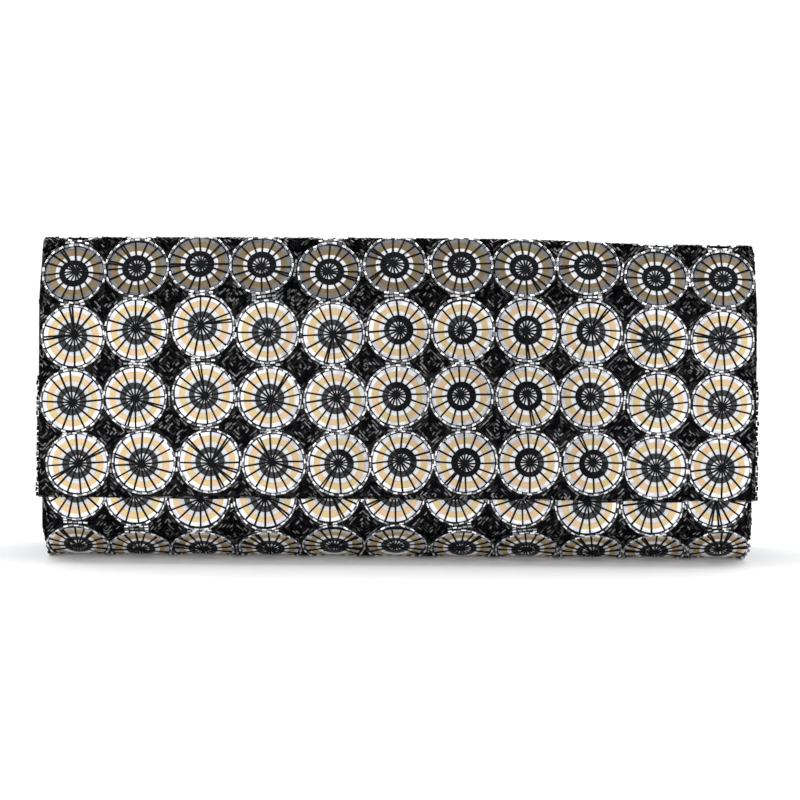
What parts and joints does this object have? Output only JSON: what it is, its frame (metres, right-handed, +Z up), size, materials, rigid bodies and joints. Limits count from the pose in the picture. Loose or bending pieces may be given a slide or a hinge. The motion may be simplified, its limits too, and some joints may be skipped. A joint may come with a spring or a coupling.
{
  "type": "clutch bag",
  "caption": "Long rectangular beaded evening clutch that stands on its base, with a flap over the front and rows of round spoked sequin medallions on black.",
  "frame": {"origin": "on the surface that the bag stands on, below the middle of its whole box", "axes": "+X along the bag to its right end seen from the front, +Y from the front with the flap to the back, +Z up"},
  "size_m": [0.3, 0.0588, 0.136],
  "materials": {
    "black_beadwork": "black cloth covered with short black glass bugle beads, rough with small bright glints",
    "black_satin": "plain black satin with a soft sheen",
    "gold_sequin": "flat champagne-gold and silver metallic sequins, smooth, with a softly brushed shine",
    "silver_sequin": "mirror silver, smooth",
    "white_sequin": "white pearl plastic with a satin shine",
    "black_sequin": "gloss black plastic",
    "silver_bead": "silver-lined clear glass bugle beads, bright and glassy",
    "black_bead": "opaque gloss black glass bugle beads",
    "black_thread": "matt twisted black thread",
    "snap_steel": "plain brushed steel"
  },
  "bodies": {
    "root": {"pocket_panel": "black_beadwork", "flap_panel": "black_beadwork", "left_gusset": "black_satin", "right_gusset": "black_satin", "flap_medallions": "gold_sequin", "front_medallions": "gold_sequin", "back_medallions": "gold_sequin", "magnetic_snap": "snap_steel"}
  },
  "joints": []
}
